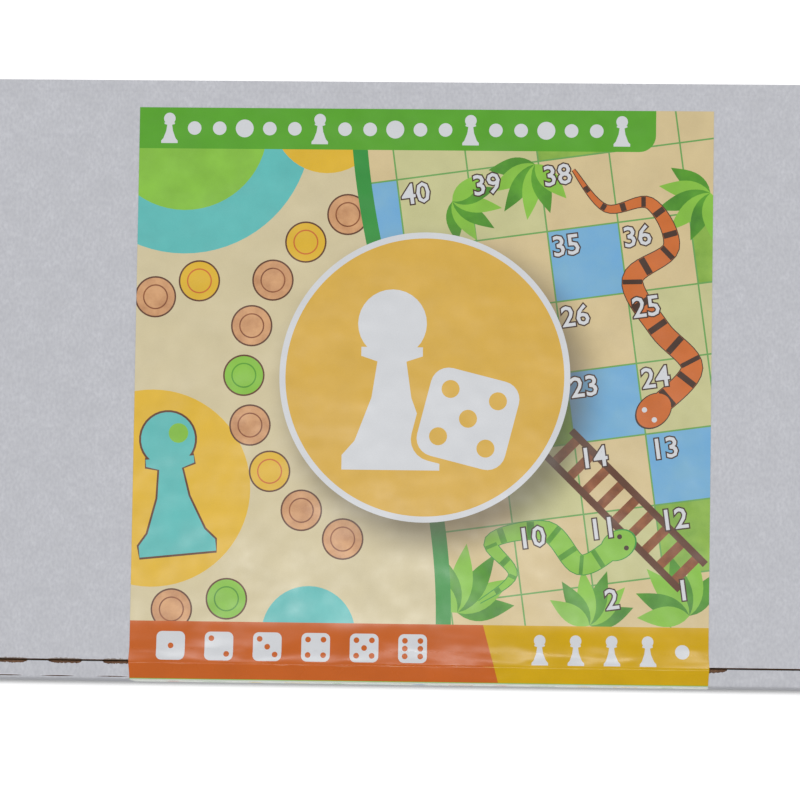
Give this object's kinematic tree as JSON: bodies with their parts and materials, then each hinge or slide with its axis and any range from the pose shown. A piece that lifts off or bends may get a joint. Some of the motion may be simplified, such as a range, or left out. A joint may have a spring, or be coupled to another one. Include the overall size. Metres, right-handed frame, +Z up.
{
  "type": "boxed snakes and ladders game",
  "caption": "Flat corrugated game carton with a hinged tuck lid and a paper seal label; inside, a two-sided plywood game board on an insert, turned pawns, dice and rules.",
  "frame": {"origin": "centre of the carton's underside, on the table", "axes": "+X across the label, to the reader's right; +Y from the opening edge towards the lid hinge; +Z up"},
  "size_m": [0.324, 0.2196, 0.0312],
  "materials": {
    "white_liner_board": "matt white-lined corrugated board",
    "kraft_board": "matt brown corrugated board",
    "label_paper": "semi-gloss printed paper",
    "rules_paper": "uncoated paper",
    "printed_sheet": "satin printed paper",
    "plywood": "sanded plywood",
    "beech": "waxed beech",
    "paint_red": "satin paint on turned wood",
    "paint_yellow": "satin paint on turned wood",
    "paint_green": "satin paint on turned wood",
    "paint_blue": "satin paint on turned wood"
  },
  "bodies": {
    "base": {"bottom_panel": "white_liner_board", "back_wall": "white_liner_board", "side_wall_left": "white_liner_board", "side_wall_right": "white_liner_board", "corner_flaps": "white_liner_board", "front_wall_outer": "white_liner_board", "front_wall_top": "white_liner_board", "front_wall_inner": "white_liner_board", "label_front": "label_paper", "insert_deck": "kraft_board", "insert_leg_left": "kraft_board", "insert_leg_right": "kraft_board", "insert_divider": "kraft_board", "rules_leaflet": "rules_paper", "board_core": "plywood", "board_print_top": "printed_sheet", "board_print_bottom": "printed_sheet", "pawn_red_1": "paint_red", "pawn_red_2": "paint_red", "pawn_red_3": "paint_red", "pawn_red_4": "paint_red", "pawn_yellow_1": "paint_yellow", "pawn_yellow_2": "paint_yellow", "pawn_yellow_3": "paint_yellow", "pawn_yellow_4": "paint_yellow", "pawn_green_1": "paint_green", "pawn_green_2": "paint_green", "pawn_green_3": "paint_green", "pawn_green_4": "paint_green", "pawn_blue_1": "paint_blue", "pawn_blue_2": "paint_blue", "pawn_blue_3": "paint_blue", "pawn_blue_4": "paint_blue", "die_1": "beech", "die_2": "beech"},
    "lid": {"lid_panel": "white_liner_board", "label_lid": "label_paper"},
    "tuck": {"tuck_flap": "white_liner_board"},
    "ear_left": {"lid_ear_left": "white_liner_board"},
    "ear_right": {"lid_ear_right": "white_liner_board"}
  },
  "joints": [
    {"name": "lid_hinge", "type": "hinge", "parent": "base", "child": "lid", "pos_m": [0, 0.10983, 0.031], "axis": [-1, 0, 0], "range_deg": [0, 180]},
    {"name": "tuck_fold", "type": "hinge", "parent": "lid", "child": "tuck", "pos_m": [0, -0.10273, 0.031], "axis": [-1, 0, 0], "range_deg": [0, 72]},
    {"name": "ear_left_fold", "type": "hinge", "parent": "lid", "child": "ear_left", "pos_m": [-0.15935, 0, 0.031], "axis": [0, 1, 0], "range_deg": [0, 72]},
    {"name": "ear_right_fold", "type": "hinge", "parent": "lid", "child": "ear_right", "pos_m": [0.15935, 0, 0.031], "axis": [0, -1, 0], "range_deg": [0, 72]}
  ],
  "couplings": [
    {"joint": "tuck_fold", "follows": "lid_hinge", "ratio": 0.4},
    {"joint": "ear_left_fold", "follows": "lid_hinge", "ratio": 0.4},
    {"joint": "ear_right_fold", "follows": "lid_hinge", "ratio": 0.4}
  ]
}
